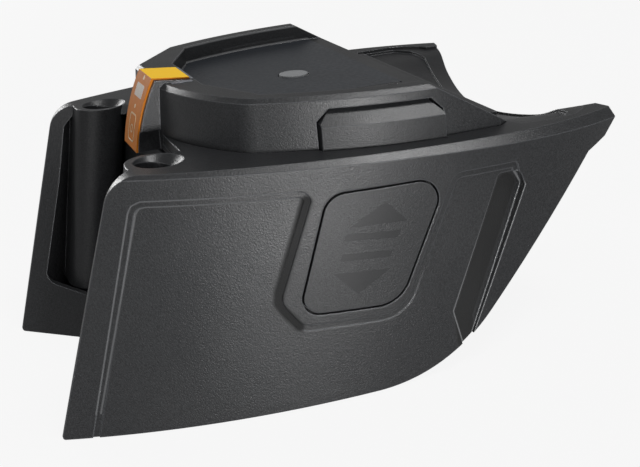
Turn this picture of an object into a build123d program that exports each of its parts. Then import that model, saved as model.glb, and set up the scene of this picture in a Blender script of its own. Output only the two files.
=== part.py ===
from build123d import *
from math import atan, cos, degrees, hypot, radians, sin, sqrt, tan
import os

os.makedirs("parts", exist_ok=True)

# A battery pack for a vacuum cleaner. It is drawn with its deck level at z = 0, X along the pack,
# Y across it, and every piece is then tilted so that the wings stand on their lower edges.

# Wings, seen from above at deck level
CREST_X = 84.0
CREST_Y = 65.9
REAR_Y = 44.0
TIP_Y = 57.1
LEAN = 0.17
WING_T = 3.0
DECK_T = 2.8
WING_DEPTH = 90.0
WING_X0 = -40.0
WING_X1 = 140.0

# Wings, seen from the side
TOP_LEFT_X = -13.3
FOOT_LEFT_X = -33.8
FOOT_LEFT_Z = -70.3
FOOT_RIGHT_X = 66.8
FOOT_RIGHT_Z = -62.7
NOSE_LOW_X = 113.0
NOSE_LOW_Z = -9.7
NOSE_STEP_X = 119.5
NOSE_STEP_Z = -6.9
NOSE_TIP_X = 124.5
NOSE_TIP_Z = -1.7
TOP_LEFT_R = 9.0
FOOT_LEFT_R = 0.6
FOOT_RIGHT_R = 48.6
EDGE_REAR = 0.9
EDGE_NOSE = 2.7

# Inner edge of the deck round the dished nose, on the far side
LEDGE_EDGE = [
    (92.9, 51.6), (95.0, 57.0), (106.3, 57.6), (112.0, 56.0), (116.4, 52.5), (118.0, 50.0), (126.0, 50.0),
]

# Raised block
BLOCK_LEFT_X = 8.3
FAR_BEVEL_Y = 21.5
FAR_BEVEL_X = 23.4
NEAR_FACET = [(8.3, -9.0), (12.6, -25.3), (23.2, -42.6)]
NEAR_FACET_R = 12.0
BLOCK_END_X = 89.5
BLOCK_END_Y = 52.5
RECESS_LEFT_X = 19.5
RECESS_LEFT_Y = 16.6
RECESS_TURN_X = 28.6
RECESS_TURN_Y = 36.5
BLOCK_RIGHT_X = 92.9
BLOCK_TOP = 13.7
BLOCK_DRAFT = 5.0
BLOCK_EDGE = 1.2
SIDE_CREST_X = 76.0
SIDE_CREST_Y = 56.3
SIDE_R = 108.0
RAMP_TOP_X = 69.8
RAMP_LIP = 1.5
RAMP_LIP_L = 2.4
RAMP_LIP_HALF = 47.0
RIM_W = 5.4
FLOOR_Z = 8.4
COVER_T = 2.4
FLANGE_W = 4.0
FLANGE_T = 2.0

# Left channel, its walls and the guide towers
CHANNEL_TOP_Y = 43.5
CHANNEL_CORNER_Y = 30.0
CHANNEL_FOOT_X = -32.8
CHANNEL_FOOT_Y = 37.7
CHANNEL_FOOT_CORNER_Y = 5.1
CHANNEL_T = 2.8
POCKET = [
    (-8.4, 6.0, 0.0), (-8.4, -3.2, 0.0), (-11.2, -6.2, 3.0), (-15.4, -23.0, 0.0), (-24.4, -53.6, 3.0),
    (-16.9, -55.5, 0.0), (20.0, -64.0, 0.0), (20.0, 6.0, 0.0),
]
TOWER_Y = 36.0
TOWER_R = 7.6
TOWER_LENGTH = 58.0
SOCKET_R = 5.0
SOCKET_DEPTH = 32.0
SOCKET_LEAD = 1.4

# Lower housing
TUB_HALF = 45.0
TUB_T = 2.2
NOSE_SLOPE = 0.2425
NOSE_WIDE = 60.0
NOSE_ROOF = 30.0
NOSE_RIM = 0.9
NOSE_FRONT_X = 120.0
NOSE_REAR = [(0.0, -2.2), (25.0, -2.0), (42.0, -1.6), (50.0, -1.2), (57.0, -0.8), (60.5, -0.6)]
NOSE_FRONT = [
    (0.0, -12.6), (12.0, -11.9), (24.8, -9.4), (32.7, -7.1), (38.0, -5.0), (43.0, -2.2), (49.0, -1.0),
    (60.5, -0.6),
]
NOSE_HOLLOW = [
    (93.2, 56.0), (108.0, 56.0), (112.5, 51.0), (114.0, 43.0), (112.5, 34.0), (108.0, 16.0), (105.0, 4.0),
]
SEAM = 0.3

# Sunk field and slot on the wings, side view
FIELD_DEPTH = 0.9
FIELD_RISE = 0.0145
FIELD_STEP = 1.6
FIELD = [
    (-9.4, -6.4, 4.0), (32.0, -7.0, 2.6), (33.4, -9.4, 1.8), (23.6, -35.6, 4.0), (28.6, -42.8, 4.0),
    (54.9, -42.8, 9.0), (70.6, -7.4, 4.0), (88.6, -7.2, 1.0), (90.0, -14.0, 1.5), (70.0, -63.0, 0.0),
    (66.0, -80.0, 0.0), (-29.0, -80.0, 0.0),
]
SLOT = [(83.4, -9.8, 1.5), (89.4, -9.8, 2.2), (91.0, -14.0, 2.0), (74.6, -53.0, 0.0), (72.0, -58.0, 0.0),
        (69.0, -46.0, 3.0)]
SLOT_DEPTH = 3.0
SLOT_RISE = 0.04
SLOT_BACK = 1.4

# Release button, link and catch
BUTTON = [(37.6, -8.9, 6.0), (68.4, -8.1, 5.0), (54.1, -39.9, 9.0), (28.0, -39.7, 4.0)]
STEM = [(46.0, -14.0, 0.0), (61.0, -14.0, 0.0), (55.0, -32.0, 0.0), (41.0, -32.0, 0.0)]
LATCH_Y = 30.0
BUTTON_GAP = 0.6
BUTTON_FLANGE = 1.6
BUTTON_TRAVEL = 2.6
CATCH_X0 = 40.4
CATCH_X1 = 72.4
CATCH_TOP = 9.9
CATCH_BEVEL_Z = 6.1
CATCH_BEVEL = 46.0
CATCH_PROUD = 1.6
CATCH_T = 4.4
TONGUE_T = 3.0
CATCH_CHAMFER = 3.2
CATCH_FOOT = -10.0
CATCH_GAP = 0.4
LINK_T = 2.5
STEM_GAP = 0.1
LINK_X0 = 43.0
LINK_X1 = 66.0
LINK_FOOT = -34.0
SPRING_X = 54.0
SPRING_Z = -23.0
SPRING_R = 4.0
SPRING_WIRE = 0.9
SPRING_TURNS = 6
SPRING_SEAT_Y = 54.0

# Cells and their frames
CELL_R = 9.2
CELL_LENGTH = 65.0
CELL_PITCH = 19.0
CELL_TOP_Z = -12.5
TOP_ROW_SHIFT = 8.0
FRAME_SKIN = 1.2
FRAME_INNER = 18.0
FRAME_LIP = 1.2
CELL_CLEAR = 0.1
STRIP_T = 0.5
SHEET_T = 0.4

# Control board and terminals
BOARD_X0 = 20.0
BOARD_X1 = 74.0
BOARD_HALF = CELL_LENGTH / 2 + SEAM + FRAME_LIP
BOARD_SCREW_Y = (FRAME_INNER + BOARD_HALF) / 2
BOARD_Z = 0.0
BOARD_T = 1.6
BOARD_SCREW_L = 3.6
BOARD_HEAD_T = 1.0
BOARD_HEAD_R = 2.0

# Parts on the board: left edge, near edge, length, width and height of each
BOARD_PARTS = [
    (36.0, -6.0, 10.0, 10.0, 1.4), (56.0, -20.0, 12.0, 6.0, 1.0), (26.0, -24.0, 8.0, 7.0, 2.6),
    (26.0, 12.0, 6.5, 9.0, 2.2), (34.5, 12.0, 6.5, 9.0, 2.2), (43.0, 12.0, 6.5, 9.0, 2.2),
    (51.5, 12.0, 6.5, 9.0, 2.2), (27.0, 21.0, 4.5, 2.0, 0.8), (35.5, 21.0, 4.5, 2.0, 0.8),
    (44.0, 21.0, 4.5, 2.0, 0.8), (52.5, 21.0, 4.5, 2.0, 0.8),
]

# Terminals, vent and label plate
TERMINAL_X0 = 44.0
TERMINAL_Y0 = -39.0
TERMINAL_DEPTH = 9.0
TERMINAL_COUNT = 5
TERMINAL_PITCH = 5.6
TERMINAL_TOP = 9.4
TERMINAL_GAP = 0.1
TERMINAL_SLOT = 3.0
TERMINAL_WALL = 1.2
CLIP_W = 2.7
CLIP_T = 0.5
CLIP_LOW = 1.6
VENT_X = 51.5
VENT_R = 4.2
LABEL_T = 0.35

# Screws
SCREW_R = 1.5
SCREW_HEAD_R = 2.8
SCREW_HEAD_T = 1.6
SCREW_LENGTH = 9.0
SCREW_GAP = 0.2
LUG_R = 4.0
LUG_XS = (9.0, 44.0)
BOARD_SCREW_R = 1.0

# Orange band
BAND_HALF = 7.7
BAND_T = 0.5
BAND_TOP_X = 18.4
BAND_FOLD = (7.8, 15.2)
BAND_MID = (3.45, 5.0)
BAND_FOOT = (1.15, -5.0)
WEDGE_HALF = 9.2
WEDGE_T = 1.0
WEDGE_FOOT = 1.0

REAR_R = ((CREST_X - TOP_LEFT_X) ** 2 + (CREST_Y - REAR_Y) ** 2) / (2 * (CREST_Y - REAR_Y))
NOSE_R = ((NOSE_TIP_X - CREST_X) ** 2 + (CREST_Y - TIP_Y) ** 2) / (2 * (CREST_Y - TIP_Y))
FOOT_SLOPE = (FOOT_RIGHT_Z - FOOT_LEFT_Z) / (FOOT_RIGHT_X - FOOT_LEFT_X)
STAND_TILT = degrees(atan(FOOT_SLOPE))
FAR = 200.0


def lean_x(z):
    """How far a leaning wall has moved along X at height z."""
    return LEAN * z


def outline(points):
    return Polyline(*points, close=True)


def level_face(line):
    """A face inside a closed level line, with its front side up."""
    face = make_face(line).face()
    return -face if face.normal_at().Z < 0 else face


def drafted(plan, height, angle):
    """A prism on a level face whose walls lean in by angle as they rise."""
    top = offset(plan, -height * tan(radians(angle)), kind=Kind.INTERSECTION)
    return loft([plan, Pos(0, 0, height) * top], ruled=True)


def face_xz(points, y=0.0):
    return make_face(Plane((0, y, 0), x_dir=(1, 0, 0), z_dir=(0, -1, 0)) * outline(points))


def prism_xz(points, y0, y1):
    """A prism whose side view has these corners, from y0 to y1."""
    return Solid.extrude(face_xz(points, y0).face(), Vector(0, y1 - y0, 0))


def box(x0, x1, y0, y1, z0, z1):
    return Pos((x0 + x1) / 2, (y0 + y1) / 2, (z0 + z1) / 2) * Box(x1 - x0, y1 - y0, z1 - z0)


def crown(x, inset=0.0):
    """Half width of the wings at deck level, drawn back by inset."""
    radius = REAR_R if x < CREST_X else NOSE_R
    return CREST_Y - radius + sqrt((radius - inset) ** 2 - (x - CREST_X) ** 2)


def wing_curve(x0, x1, inset, base):
    """Closed line round the far half of the plan, from y = base out to the crowned wing."""
    rear_mid = (x0 + CREST_X) / 2
    nose_mid = (x1 + CREST_X) / 2
    crest = (CREST_X, CREST_Y - inset)
    start = (x0, crown(x0, inset))
    end = (x1, crown(x1, inset))
    rear = ThreePointArc(start, (rear_mid, crown(rear_mid, inset)), crest)
    nose = ThreePointArc(crest, (nose_mid, crown(nose_mid, inset)), end)
    back = Polyline(end, (x1, base), (x0, base), start)
    return Curve() + [rear, nose, back]


def wing_block(inset=0.0, depth=WING_DEPTH, swell=0.0):
    """Far half of everything inside the crowned wing. A swell widens it toward the foot."""
    face = level_face(wing_curve(WING_X0, WING_X1, inset, -swell * depth))
    return Solid.extrude(face, Vector(-LEAN * depth, swell * depth, -depth))


def side_view():
    """Side view of the wings: deck on top, standing edge below, nose to the right."""
    line = outline([
        (TOP_LEFT_X, 0),
        (FOOT_LEFT_X, FOOT_LEFT_Z),
        (FOOT_RIGHT_X, FOOT_RIGHT_Z),
        (NOSE_LOW_X, NOSE_LOW_Z),
        (NOSE_STEP_X, NOSE_STEP_Z),
        (NOSE_TIP_X, NOSE_TIP_Z),
        (NOSE_TIP_X, 0),
    ])
    face = level_face(line)
    for x, z, radius in (
        (TOP_LEFT_X, 0, TOP_LEFT_R),
        (FOOT_LEFT_X, FOOT_LEFT_Z, FOOT_LEFT_R),
        (FOOT_RIGHT_X, FOOT_RIGHT_Z, FOOT_RIGHT_R),
    ):
        corner = face.vertices().sort_by_distance((x, z, 0))[0]
        face = fillet(corner, radius)
    return face


def side_prism(inset=0.0, half=FAR):
    """The side view as a prism across the pack, drawn back all round by inset."""
    face = side_view()
    if inset:
        face = offset(face, -inset)
    upright = Plane((0, half, 0), x_dir=(1, 0, 0), z_dir=(0, -1, 0)) * face
    return Solid.extrude(upright.face(), Vector(0, -2 * half, 0))


def channel(inset=0.0, corner_gap=0.0):
    """The space between the wings at the left end. An inset moves its slanted walls outward."""
    def plan(z, slant_x, slant_y, corner_x, corner_y):
        slope = (slant_y - corner_y) / (corner_x - slant_x)
        shift = inset * hypot(1, slope)
        reach = 20.0
        x_out = slant_x - reach
        y_out = slant_y + slope * reach + shift
        y_in = corner_y + shift
        x_in = corner_x - corner_gap
        right = [(x_out, y_out), (x_in, y_in), (x_in, -y_in), (x_out, -y_out)]
        points = right + [(-FAR, -y_out), (-FAR, y_out)]
        return make_face(Plane((0, 0, z)) * outline(points))

    foot_corner = BLOCK_LEFT_X + lean_x(FOOT_LEFT_Z)
    top = plan(0, TOP_LEFT_X, CHANNEL_TOP_Y, BLOCK_LEFT_X, CHANNEL_CORNER_Y)
    foot = plan(FOOT_LEFT_Z, CHANNEL_FOOT_X, CHANNEL_FOOT_Y, foot_corner, CHANNEL_FOOT_CORNER_Y)
    return loft([foot, top], ruled=True)


def rounded(corners, grow=0.0):
    """A face in the side view from corners given as x, z and radius."""
    face = level_face(outline([(x, z) for x, z, radius in corners]))
    for x, z, radius in corners:
        if radius:
            corner = face.vertices().sort_by_distance((x, z, 0))[0]
            face = fillet(corner, radius)
    if grow:
        face = offset(face, grow)
    return face


def side_cut(face, y0=0.0, y1=WING_DEPTH):
    """A prism across the far half of the pack from a face drawn in the side view."""
    upright = Plane((0, y0, 0), x_dir=(1, 0, 0), z_dir=(0, -1, 0)) * face
    return Part() + [Solid.extrude(piece, Vector(0, y1 - y0, 0)) for piece in upright.faces()]


def block_side(x):
    return SIDE_CREST_Y - SIDE_R + sqrt(SIDE_R ** 2 - (x - SIDE_CREST_X) ** 2)


def block_plan(grow=0.0):
    """Foot outline of the raised block. The near left corner is curved, the far one is cut straight."""
    mid = (FAR_BEVEL_X + BLOCK_END_X) / 2
    turn_x, turn_y = NEAR_FACET[2]
    far_turn = (FAR_BEVEL_X, block_side(FAR_BEVEL_X))
    near_turn = (turn_x, -block_side(turn_x))
    lines = [
        Line((BLOCK_LEFT_X, FAR_BEVEL_Y), far_turn),
        ThreePointArc(far_turn, (mid, block_side(mid)), (BLOCK_END_X, block_side(BLOCK_END_X))),
        Polyline(
            (BLOCK_END_X, block_side(BLOCK_END_X)), (BLOCK_RIGHT_X, BLOCK_END_Y),
            (BLOCK_RIGHT_X, -BLOCK_END_Y), (BLOCK_END_X, -block_side(BLOCK_END_X)),
        ),
        ThreePointArc((BLOCK_END_X, -block_side(BLOCK_END_X)), (mid, -block_side(mid)), near_turn),
        ThreePointArc(near_turn, NEAR_FACET[1], NEAR_FACET[0]),
        Line(NEAR_FACET[0], (BLOCK_LEFT_X, FAR_BEVEL_Y)),
    ]
    face = level_face(Curve() + lines)
    corner = face.vertices().sort_by_distance((*near_turn, 0))[0]
    face = fillet(corner, NEAR_FACET_R)
    if grow:
        face = offset(face, grow, kind=Kind.INTERSECTION)
    return face


def block_solid(grow=0.0, z0=-20.0, z1=BLOCK_TOP, draft=BLOCK_DRAFT):
    """The raised block, upright below deck level and drawn in above it."""
    plan = block_plan(grow)
    solid = drafted(plan, z1, draft)
    if z0 < 0:
        solid = solid + extrude(plan, z0)
    return solid


def ramp_cut(drop=0.0):
    """What the ramp takes off the right end of the raised block."""
    points = [
        (RAMP_TOP_X, BLOCK_TOP - drop),
        (BLOCK_RIGHT_X + 2, -2 * BLOCK_TOP / (BLOCK_RIGHT_X - RAMP_TOP_X) - drop),
        (BLOCK_RIGHT_X + 2, BLOCK_TOP + 9),
        (RAMP_TOP_X, BLOCK_TOP + 9),
    ]
    return prism_xz(points, -FAR, FAR)


def recess():
    """The sunk floor of the raised block, open toward the ramp."""
    rim = RIM_W + BLOCK_TOP * tan(radians(BLOCK_DRAFT))
    inner = offset(block_plan(), -rim, kind=Kind.INTERSECTION)
    half = [(RECESS_LEFT_X, RECESS_LEFT_Y), (RECESS_TURN_X, RECESS_TURN_Y)]
    half += [(RECESS_TURN_X + RIM_W * 2, FAR), (FAR, FAR)]
    frame = level_face(outline(half + [(x, -y) for x, y in reversed(half)]))
    return extrude(Pos(0, 0, FLOOR_Z) * (inner & frame), FAR)


def catch_view(gap=0.0):
    """Side view of the catch, its top corners cut off."""
    x0 = CATCH_X0 - gap
    x1 = CATCH_X1 + gap
    top = CATCH_TOP + gap
    cut = CATCH_CHAMFER
    return [(x0, CATCH_FOOT - gap), (x0, top - cut), (x0 + cut, top), (x1 - cut, top), (x1, top - cut),
            (x1, CATCH_FOOT - gap)]


def catch_pocket():
    """Space for one catch and its travel, on the far side."""
    depth = CATCH_T + BUTTON_TRAVEL - CATCH_PROUD + CATCH_GAP / 2
    return prism_xz(catch_view(CATCH_GAP), LATCH_Y, FAR) - block_solid(-depth, z1=BLOCK_TOP + 5)


def floor_openings():
    """Openings in the sunk floor for the terminals and the vent."""
    width = TERMINAL_COUNT * TERMINAL_PITCH
    slot = box(TERMINAL_X0 - SEAM, TERMINAL_X0 + width + SEAM, TERMINAL_Y0 - SEAM,
               TERMINAL_Y0 + TERMINAL_DEPTH + SEAM, 0, FLOOR_Z + 1)
    return slot + Pos(VENT_X, 0, FLOOR_Z) * Cylinder(VENT_R / 2, 3 * COVER_T)


def band_side(sink, top_x):
    """Side view under the folded band, drawn back by sink: along the rim, then round the front."""
    fold = (BAND_FOLD[0] + sink, BAND_FOLD[1] - sink)
    foot = (BAND_FOOT[0] + sink, BAND_FOOT[1])
    front = ThreePointArc(fold, (BAND_MID[0] + sink, BAND_MID[1]), foot)
    back = Polyline(foot, (top_x, foot[1]), (top_x, BLOCK_TOP + BAND_T - sink), fold)
    return level_face(Curve() + [front, back])


def across(face, half):
    """A prism across the pack from a face drawn in the side view."""
    upright = Plane((0, -half, 0), x_dir=(1, 0, 0), z_dir=(0, -1, 0)) * face
    return Solid.extrude(upright.face(), Vector(0, 2 * half, 0))


def top_cover():
    body = drafted(block_plan(), BLOCK_TOP, BLOCK_DRAFT)
    body = chamfer(body.faces().sort_by(Axis.Z)[-1].edges(), BLOCK_EDGE)
    body += extrude(block_plan(), -DECK_T - FLANGE_T)
    body -= ramp_cut()
    body += box(BLOCK_RIGHT_X - RAMP_LIP_L, BLOCK_RIGHT_X, -RAMP_LIP_HALF, RAMP_LIP_HALF, -1, RAMP_LIP)
    flange = extrude(Pos(0, 0, -DECK_T - SEAM) * block_plan(FLANGE_W), SEAM - FLANGE_T)
    body += flange & box(BLOCK_LEFT_X, BLOCK_RIGHT_X, -FAR, FAR, -FAR, 0)
    ceiling = FLOOR_Z - COVER_T
    inside = block_solid(-COVER_T, z0=-FAR, z1=ceiling) - ramp_cut(drop=COVER_T * 1.2)
    body -= inside
    body -= recess()
    wedge = across(band_side(BAND_T, BLOCK_LEFT_X + COVER_T / 2), BAND_HALF)
    shoulder = across(band_side(BAND_T, BAND_TOP_X), WEDGE_HALF)
    wedge += shoulder & box(-FAR, FAR, -WEDGE_HALF, WEDGE_HALF, BLOCK_TOP - WEDGE_T, FAR)
    wedge += shoulder & box(-FAR, BLOCK_LEFT_X + COVER_T / 2, -WEDGE_HALF, WEDGE_HALF, WEDGE_FOOT, FAR)
    body += wedge
    body -= catch_pocket()
    body -= mirror(catch_pocket(), about=Plane.XZ)
    return body - floor_openings()


def orange_band():
    """Strip folded over the left end: a flat piece on the rim and a hollow one down the wedge."""
    strip = across(band_side(0.0, BAND_TOP_X), BAND_HALF)
    return strip - across(band_side(BAND_T, BAND_TOP_X + 1), WEDGE_HALF)


def ledge_gap(grow=0.0):
    """Plan of the gap between the two deck strips beyond the raised block, far half."""
    start_x = LEDGE_EDGE[0][0]
    points = [(start_x - 1, -1), (start_x - 1, LEDGE_EDGE[0][1])] + LEDGE_EDGE
    points += [(FAR, LEDGE_EDGE[-1][1]), (FAR, -1)]
    face = level_face(outline(points))
    if grow:
        face = offset(face, grow, kind=Kind.INTERSECTION)
    return extrude(Pos(0, 0, 1) * face, -20)


def deck(near, extra=0.0):
    """Deck strip of one wing, far half. Extra makes it thicker and wider for what must clear it."""
    plan = block_solid(SEAM - extra, z1=5)
    if near:
        plan = mirror(plan, about=Plane.XZ)
    strip = wing_block(depth=DECK_T + extra) - plan - ledge_gap(-extra)
    return strip - channel() - box(-FAR, BLOCK_LEFT_X, -1, CHANNEL_CORNER_Y, -FAR, FAR)


def deck_edge():
    """What stays below the bevel along the outer edge of the deck, which widens toward the nose."""
    rise = (EDGE_REAR - EDGE_NOSE) / (NOSE_TIP_X - TOP_LEFT_X)
    slope = atan(rise)
    start = (0, 0, -EDGE_REAR - rise * TOP_LEFT_X)
    low = Plane(start, x_dir=(cos(slope), 0, sin(slope)), z_dir=(-sin(slope), 0, cos(slope)))
    above = low.location * drafted(level_face(wing_curve(WING_X0, WING_X1, 0.0, WING_X0)), 5, 45)
    below = extrude(low * level_face(wing_curve(WING_X0 - 20, WING_X1 + 20, -20.0, WING_X0 - 20)), -FAR)
    return above + below


def tower_plane(depth=0.0):
    """Level across a guide tower at a depth along its leaning axis."""
    reach = depth / hypot(1, LEAN)
    return Plane((-LEAN * reach, TOWER_Y, -reach), x_dir=(1, 0, -LEAN), z_dir=(LEAN, 0, 1))


def tower():
    """Guide tower with the web that stands it on the wing's skin."""
    start = tower_plane(-DECK_T)
    post = extrude(start * Circle(TOWER_R), -(TOWER_LENGTH + DECK_T))
    web = extrude(start * Pos(0, TOWER_R) * Rectangle(2 * TOWER_R, 2 * TOWER_R), -(TOWER_LENGTH + DECK_T))
    return (post + web) & wing_block(WING_T / 2)


def socket():
    hole = extrude(tower_plane(-4) * Circle(SOCKET_R), -(SOCKET_DEPTH + 4))
    mouth = tower_plane(-2) * Circle(SOCKET_R + SOCKET_LEAD + 2)
    return hole + loft([mouth, tower_plane(SOCKET_LEAD) * Circle(SOCKET_R)])


def foot_plane(x, y, lift=0.0):
    """Standing edge level at x, raised by lift."""
    z = FOOT_LEFT_Z + FOOT_SLOPE * (x - FOOT_LEFT_X)
    up = Vector(-sin(radians(STAND_TILT)), 0, cos(radians(STAND_TILT)))
    along = Vector(up.Z, 0, -up.X)
    return Plane(Vector(x, y, z) + up * lift, x_dir=along, z_dir=up)


def lug_y(x):
    return crown(x - lean_x(FOOT_LEFT_Z)) - WING_T - LUG_R


def lugs():
    """Screw lugs on the inner face of a wing, just above the floor of the lower housing."""
    group = None
    for x in LUG_XS:
        lift = TUB_T + SEAM
        post = extrude(foot_plane(x, lug_y(x), lift) * Circle(LUG_R), SCREW_LENGTH)
        web = extrude(foot_plane(x, lug_y(x) + LUG_R, lift) * Rectangle(2 * LUG_R, 2 * LUG_R), SCREW_LENGTH)
        post = (post + web) - extrude(foot_plane(x, lug_y(x)) * Circle(SCREW_R), SCREW_LENGTH + TUB_T)
        group = post if group is None else group + post
    return group & wing_block(WING_T / 2)


def side_cover(near=False):
    """One wing with its deck strip, channel wall, guide tower, button window, sunk field and slot."""
    shell = wing_block() - wing_block(WING_T)
    wall = wing_block(WING_T / 2) & channel(CHANNEL_T, SEAM)
    wall -= side_cut(rounded(POCKET))
    back = wing_block(WING_T / 2) - wing_block(SLOT_DEPTH + SLOT_BACK, swell=SLOT_RISE)
    cover = shell + deck(near) + (back & side_cut(rounded(SLOT, SLOT_BACK)))
    cover = cover + wall - channel()
    cover = cover + tower() + lugs()
    cover = cover & side_prism() & deck_edge()
    field = side_cut(rounded(FIELD, -FIELD_STEP))
    cover -= field - wing_block(FIELD_DEPTH, swell=FIELD_RISE)
    cover -= side_cut(rounded(FIELD)) - field - wing_block(FIELD_DEPTH / 2)
    cover -= side_cut(rounded(SLOT)) - wing_block(SLOT_DEPTH, swell=SLOT_RISE)
    cover -= side_cut(rounded(BUTTON, BUTTON_GAP), LATCH_Y)
    notch = block_solid(CATCH_PROUD + CATCH_GAP, z1=5)
    if near:
        notch = mirror(notch, about=Plane.XZ)
    cover -= notch & box(CATCH_X0 - CATCH_GAP, CATCH_X1 + CATCH_GAP, LATCH_Y, FAR, -20, 5)
    cover -= socket()
    return cover - nose_end()


def lower_housing():
    hull = wing_block(WING_T + SEAM)
    hull += mirror(hull, about=Plane.XZ)
    hull &= side_prism()
    low = -DECK_T - FLANGE_T - SEAM
    body = hull & box(-FAR, BLOCK_RIGHT_X, -FAR, FAR, -FAR, low)
    nose = hull & box(BLOCK_RIGHT_X + SEAM, FAR, -FAR, FAR, -FAR, 0)
    nose += hull & box(BLOCK_RIGHT_X - TUB_T, BLOCK_RIGHT_X + SEAM, -FAR, FAR, -FAR, low)
    body += nose
    body -= channel(CHANNEL_T + SEAM)
    dish = nose_dish()
    inner = side_prism(TUB_T) - nose_dish(TUB_T + NOSE_RIM)
    left = wing_left_cut(TUB_T)
    body -= (inner & box(-FAR, FAR, -TUB_HALF + TUB_T, TUB_HALF - TUB_T, -FAR, FAR)) - left
    body -= inner & wing_left_cut(0.0)
    for side in (1, -1):
        y0, y1 = sorted((side * TUB_HALF, side * FAR))
        body -= inner & box(-FAR, BLOCK_RIGHT_X - TUB_T, y0, y1, -FAR, FAR)
    body -= dish
    body -= nose_sink()
    body -= nose_end()
    zone = deck(False, SEAM)
    back = side_cut(rounded(SLOT, SLOT_BACK + SEAM))
    back -= wing_block(SLOT_DEPTH + SLOT_BACK + SEAM, swell=SLOT_RISE)
    cut = zone + back
    body = body - cut - mirror(deck(True, SEAM) + back, about=Plane.XZ)
    for x in LUG_XS:
        for side in (1, -1):
            y = side * lug_y(x)
            body -= extrude(foot_plane(x, y) * Circle(SCREW_R + SCREW_GAP), TUB_T + 1)
            body -= extrude(foot_plane(x, y, -1) * Circle(SCREW_HEAD_R + SCREW_GAP), SCREW_HEAD_T + 1.1)
            body -= extrude(foot_plane(x, y, TUB_T) * Circle(LUG_R + SEAM), SCREW_LENGTH + SEAM * 2)
    return body


def wing_left_cut(wall):
    """Everything left of the inner face of the housing's leaning left wall."""
    x_top = BLOCK_LEFT_X + wall
    x_foot = x_top + lean_x(-FAR)
    return prism_xz([(x_top, 0), (x_foot, -FAR), (-2 * FAR, -FAR), (-2 * FAR, 0)], -FAR, FAR)


def nose_section(x, half, drop):
    """Across the dished nose at x, from the middle out to one side, lowered by drop."""
    place = Plane((x, 0, 0), x_dir=(0, 1, 0), z_dir=(1, 0, 0))
    left = [(-y, z - drop) for y, z in reversed(half[1:])]
    line = Spline(*left, *[(y, z - drop) for y, z in half])
    wide, low = half[-1]
    roof = Polyline((wide, low - drop), (wide, NOSE_ROOF), (-wide, NOSE_ROOF), (-wide, low - drop))
    return place * make_face(Curve() + [line, roof])


def nose_dish(drop=0.0):
    """Space over the nose: nearly flat at the ramp's foot and dished between the tips of the wings."""
    rear = nose_section(BLOCK_RIGHT_X + SEAM, NOSE_REAR, drop)
    front = nose_section(NOSE_FRONT_X, NOSE_FRONT, drop)
    return loft([rear, front], ruled=True) + extrude(front, NOSE_TIP_X - NOSE_FRONT_X + 3)


def nose_sink():
    """Shallow hollow inside the rim of the nose."""
    half = NOSE_HOLLOW
    face = level_face(outline(half + [(x, -y) for x, y in reversed(half)]))
    return extrude(Pos(0, 0, NOSE_ROOF) * face, -FAR) & nose_dish(NOSE_RIM)


def nose_end():
    """Cut that draws the end of the nose in between the tips of the wings."""
    tip = NOSE_TIP_X
    inner = tip - NOSE_SLOPE * NOSE_WIDE
    points = [(tip, NOSE_WIDE), (inner, 0), (tip, -NOSE_WIDE), (FAR, -FAR), (FAR, FAR)]
    face = level_face(outline(points))
    corner = face.vertices().sort_by_distance((inner, 0, 0))[0]
    face = fillet(corner, NOSE_WIDE)
    return extrude(Pos(0, 0, NOSE_ROOF) * face, -FAR)


def label_plate():
    """Blank plate on the sunk floor, clear of the terminals and with a hole for the vent disc."""
    plan = recess() & box(-FAR, FAR, -FAR, FAR, FLOOR_Z, FLOOR_Z + LABEL_T)
    plan &= box(RECESS_LEFT_X + 1.5, BOARD_X1, TERMINAL_Y0 + TERMINAL_DEPTH + 3, FAR, 0, FAR)
    rim = recess() - Pos(0, -1.5, 0) * recess()
    return plan - rim - Pos(VENT_X, 0, FLOOR_Z) * Cylinder(VENT_R + 0.4, 3)


def vent_disc():
    return Pos(VENT_X, 0, FLOOR_Z + LABEL_T) * Cylinder(VENT_R, 2 * LABEL_T)


def catch():
    """Bevelled catch in the side of the raised block, with the tongue that reaches the link."""
    rise = CATCH_TOP - CATCH_BEVEL_Z
    outer = block_solid(CATCH_PROUD, z1=CATCH_BEVEL_Z, draft=0)
    outer += Pos(0, 0, CATCH_BEVEL_Z) * drafted(block_plan(CATCH_PROUD), rise, CATCH_BEVEL)
    inner = block_solid(CATCH_PROUD - CATCH_T, z1=BLOCK_TOP, draft=0)
    inner += extrude(Pos(0, 0, -DECK_T) * block_plan(CATCH_PROUD - TONGUE_T), -FAR)
    return (outer & prism_xz(catch_view(), LATCH_Y, FAR)) - inner


def latch_link():
    """Plate that joins the button below the deck to the tongue of the catch, with the spring seat."""
    top = -DECK_T - FLANGE_T - SEAM - 0.5
    inner = block_solid(CATCH_PROUD + STEM_GAP, z0=-FAR, z1=1)
    plate = block_solid(CATCH_PROUD + LINK_T, z0=-FAR, z1=1) - inner
    plate &= box(LINK_X0, LINK_X1, LATCH_Y, FAR, LINK_FOOT, top)
    depth = block_side(SPRING_X) + CATCH_PROUD + LINK_T / 2 - SPRING_SEAT_Y
    seat = along_y(SPRING_X, SPRING_Z, SPRING_R + 1, SPRING_SEAT_Y, SPRING_SEAT_Y + depth)
    return plate + seat


def button():
    """Release button: the pad that shows, the flange that keeps it in and the stem to the link."""
    skin = WING_T + SEAM
    inner = skin + BUTTON_FLANGE
    pad = side_cut(rounded(BUTTON), LATCH_Y) & (wing_block() - wing_block(inner))
    flange = side_cut(rounded(BUTTON, BUTTON_FLANGE), LATCH_Y) & (wing_block(skin) - wing_block(inner))
    stem = side_cut(rounded(STEM), LATCH_Y) & wing_block(inner)
    return pad + flange + stem - block_solid(CATCH_PROUD + LINK_T + STEM_GAP, z0=-FAR, z1=1)


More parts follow.
